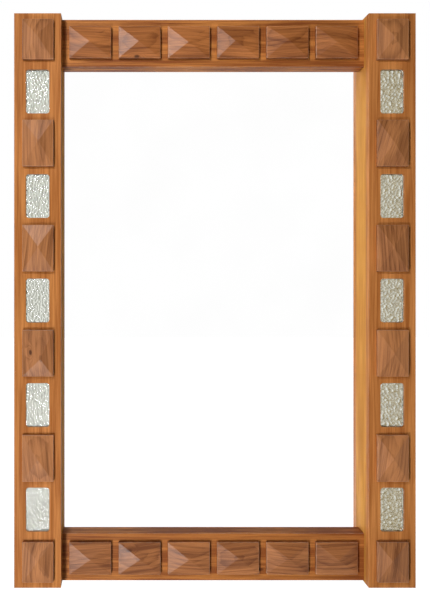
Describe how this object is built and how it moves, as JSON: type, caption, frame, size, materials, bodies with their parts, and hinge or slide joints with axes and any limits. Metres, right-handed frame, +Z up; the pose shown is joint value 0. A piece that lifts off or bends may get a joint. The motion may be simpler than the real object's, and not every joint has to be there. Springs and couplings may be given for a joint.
{
  "type": "wall mirror",
  "caption": "Rectangular wall mirror whose wooden frame carries diamond-pointed blocks and textured glass windows, with swinging hanger rings behind.",
  "frame": {"origin": "on the wall plane, behind the middle of the frame", "axes": "+X to the viewer's right, +Y into the wall, +Z up; the mirror faces -Y"},
  "size_m": [0.87, 0.0905, 1.245],
  "materials": {
    "stile_wood": "oiled, straight grain running up the stile",
    "core_wood": "oiled, paler than the face",
    "rail_wood": "oiled, straight grain running along the rail",
    "block_wood": "oiled walnut",
    "window_glass": "hammered on the front",
    "silvering": "bright",
    "card": "dull",
    "mirror": "bright",
    "rubber": "dull",
    "ply": "bare birch plywood",
    "plated_steel": "zinc plated",
    "screw_steel": "zinc plated"
  },
  "bodies": {
    "frame": {"left_face_board": "stile_wood", "right_face_board": "stile_wood", "left_core_board": "core_wood", "right_core_board": "core_wood", "top_rail": "rail_wood", "bottom_rail": "rail_wood", "left_stile_block_1": "block_wood", "left_stile_block_2": "block_wood", "left_stile_block_3": "block_wood", "left_stile_block_4": "block_wood", "left_stile_block_5": "block_wood", "left_stile_block_6": "block_wood", "right_stile_block_1": "block_wood", "right_stile_block_2": "block_wood", "right_stile_block_3": "block_wood", "right_stile_block_4": "block_wood", "right_stile_block_5": "block_wood", "right_stile_block_6": "block_wood", "top_rail_block_1": "block_wood", "top_rail_block_2": "block_wood", "top_rail_block_3": "block_wood", "top_rail_block_4": "block_wood", "top_rail_block_5": "block_wood", "top_rail_block_6": "block_wood", "bottom_rail_block_1": "block_wood", "bottom_rail_block_2": "block_wood", "bottom_rail_block_3": "block_wood", "bottom_rail_block_4": "block_wood", "bottom_rail_block_5": "block_wood", "bottom_rail_block_6": "block_wood", "left_window_glass_1": "window_glass", "left_window_glass_2": "window_glass", "left_window_glass_3": "window_glass", "left_window_glass_4": "window_glass", "left_window_glass_5": "window_glass", "right_window_glass_1": "window_glass", "right_window_glass_2": "window_glass", "right_window_glass_3": "window_glass", "right_window_glass_4": "window_glass", "right_window_glass_5": "window_glass", "left_glass_backings": "silvering", "right_glass_backings": "silvering", "glass_pads": "card", "mirror_plate": "mirror", "setting_blocks": "rubber", "back_board": "ply", "retainer_plates": "plated_steel", "retainer_screws": "screw_steel", "left_hanger_strap": "plated_steel", "right_hanger_strap": "plated_steel", "hanger_screws": "screw_steel", "wall_bumpers": "rubber", "bumper_screws": "screw_steel"},
    "left_ring": {"left_hanger_ring": "plated_steel"},
    "right_ring": {"right_hanger_ring": "plated_steel"}
  },
  "joints": [
    {"name": "left_ring_hinge", "type": "hinge", "parent": "frame", "child": "left_ring", "pos_m": [-0.3842, -0.00425, 0.4325], "axis": [-1, 0, 0], "range_deg": [0, 175]},
    {"name": "right_ring_hinge", "type": "hinge", "parent": "frame", "child": "right_ring", "pos_m": [0.3842, -0.00425, 0.4325], "axis": [-1, 0, 0], "range_deg": [0, 175]}
  ]
}
